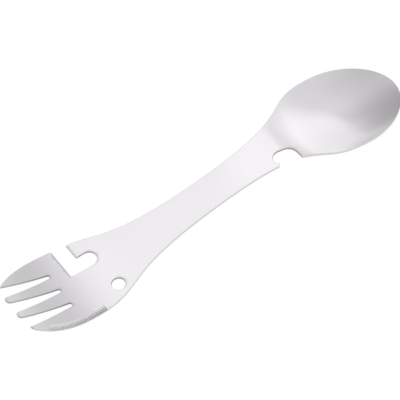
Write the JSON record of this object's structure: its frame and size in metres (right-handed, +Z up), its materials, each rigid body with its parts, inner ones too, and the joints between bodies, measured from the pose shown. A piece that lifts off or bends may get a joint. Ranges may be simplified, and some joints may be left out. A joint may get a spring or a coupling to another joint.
{
  "type": "one-piece spork multi-tool",
  "caption": "One-piece stainless spork with a dished spoon, a bent-up tined fork with a serrated edge, a can-opener hook, a bottle-opener claw and a lanyard hole.",
  "frame": {"origin": "on the table, under the middle of the part as it lies at rest", "axes": "+X along the part towards the spoon's tip, +Z up out of the bowl, +Y to the can opener's side"},
  "size_m": [0.2026, 0.0422, 0.0123],
  "materials": {
    "steel": "fine satin brushed along its length"
  },
  "bodies": {
    "root": {"spork": "steel"}
  },
  "joints": []
}
